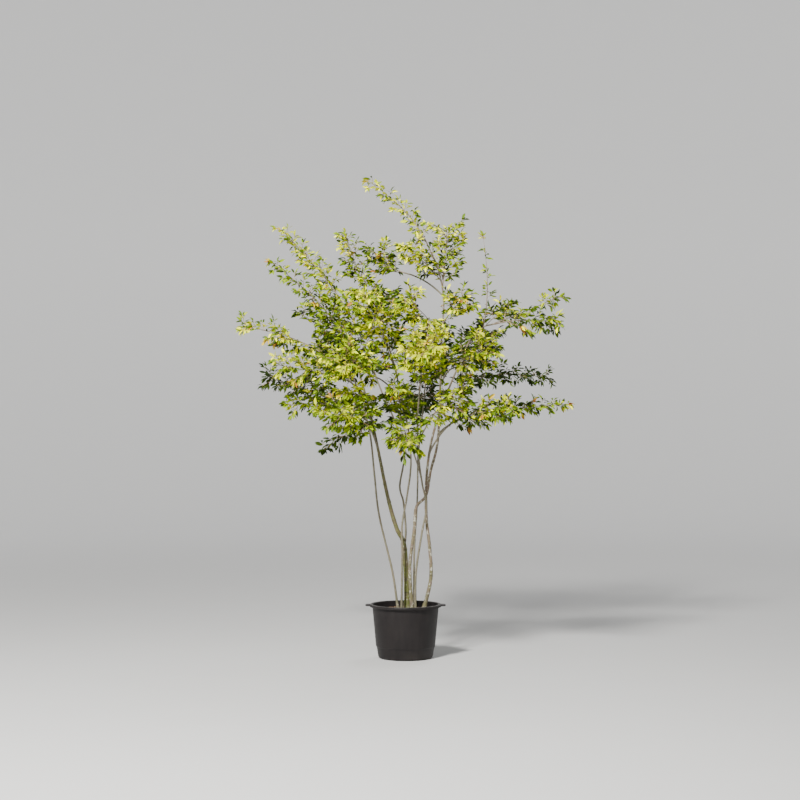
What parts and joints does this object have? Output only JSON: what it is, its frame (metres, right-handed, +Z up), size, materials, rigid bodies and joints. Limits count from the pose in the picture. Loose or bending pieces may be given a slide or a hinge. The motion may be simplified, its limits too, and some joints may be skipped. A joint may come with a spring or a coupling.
{
  "type": "potted serviceberry",
  "caption": "Young multi-stem serviceberry in leaf, with slender leaning stems and an open, irregular crown, in a round dark plastic nursery pot.",
  "frame": {"origin": "centre of the pot's flat underside, on the surface it stands on", "axes": "+Z up, +X to the viewer's right, -Y towards the viewer"},
  "size_m": [1.986, 1.5175, 2.858],
  "materials": {
    "pot_plastic": "matte moulded, near black",
    "potting_mix": "coarse, damp",
    "bark_mossy": "rough bark with moss",
    "bark_mottled": "bark with pale lichen patches",
    "bark_grey": "smooth grey-tan bark",
    "leaf_sunlit": "yellow-green leaf",
    "leaf_green": "mid-green leaf",
    "leaf_shaded": "deep green leaf",
    "leaf_tips": "young leaf with a bronze tint"
  },
  "bodies": {
    "root": {"pot": "pot_plastic", "potting_mix": "potting_mix", "stem_trunk": "bark_mossy", "stem_leader": "bark_mottled", "stem_centre": "bark_grey", "stem_left": "bark_grey", "stem_front": "bark_grey", "stem_right": "bark_mottled", "stem_rear": "bark_grey", "stem_fork": "bark_grey", "bough_far_left": "bark_grey", "bough_left_mid": "bark_grey", "bough_low_left": "bark_grey", "bough_low_front_left": "bark_grey", "bough_left_edge": "bark_grey", "bough_left_front": "bark_grey", "bough_top_centre": "bark_grey", "bough_right_mid": "bark_grey", "bough_back_right": "bark_grey", "bough_far_right": "bark_grey", "bough_low_right": "bark_grey", "bough_low_centre": "bark_grey", "bough_right_dark": "bark_grey", "bough_back_low": "bark_grey", "foliage_leader": "leaf_tips", "foliage_top_centre": "leaf_sunlit", "foliage_top_inner": "leaf_sunlit", "foliage_top_right": "leaf_sunlit", "foliage_right_inner": "leaf_sunlit", "foliage_centre_high": "leaf_sunlit", "foliage_right_high": "leaf_sunlit", "foliage_right_shoot": "leaf_green", "foliage_right_long": "leaf_sunlit", "foliage_right_tuft": "leaf_green", "foliage_right_mid": "leaf_sunlit", "foliage_front_centre": "leaf_tips", "foliage_front_high": "leaf_sunlit", "foliage_upper_back": "leaf_green", "foliage_left_front": "leaf_sunlit", "foliage_centre_shoot": "leaf_sunlit", "foliage_left_shoot_high": "leaf_tips", "foliage_left_shoot_low": "leaf_green", "foliage_left_edge": "leaf_green", "foliage_far_left": "leaf_sunlit", "foliage_left_mid": "leaf_sunlit", "foliage_low_left": "leaf_green", "foliage_left_dark": "leaf_shaded", "foliage_hanging_left": "leaf_shaded", "foliage_low_front_left": "leaf_green", "foliage_low_centre": "leaf_green", "foliage_low_inner": "leaf_green", "foliage_low_mid": "leaf_sunlit", "foliage_left_inner": "leaf_green", "foliage_low_right": "leaf_sunlit", "foliage_far_right": "leaf_green", "foliage_right_dark": "leaf_shaded", "foliage_back_right": "leaf_shaded", "foliage_back_centre": "leaf_shaded", "foliage_back_left": "leaf_shaded", "foliage_back_low": "leaf_shaded"}
  },
  "joints": []
}
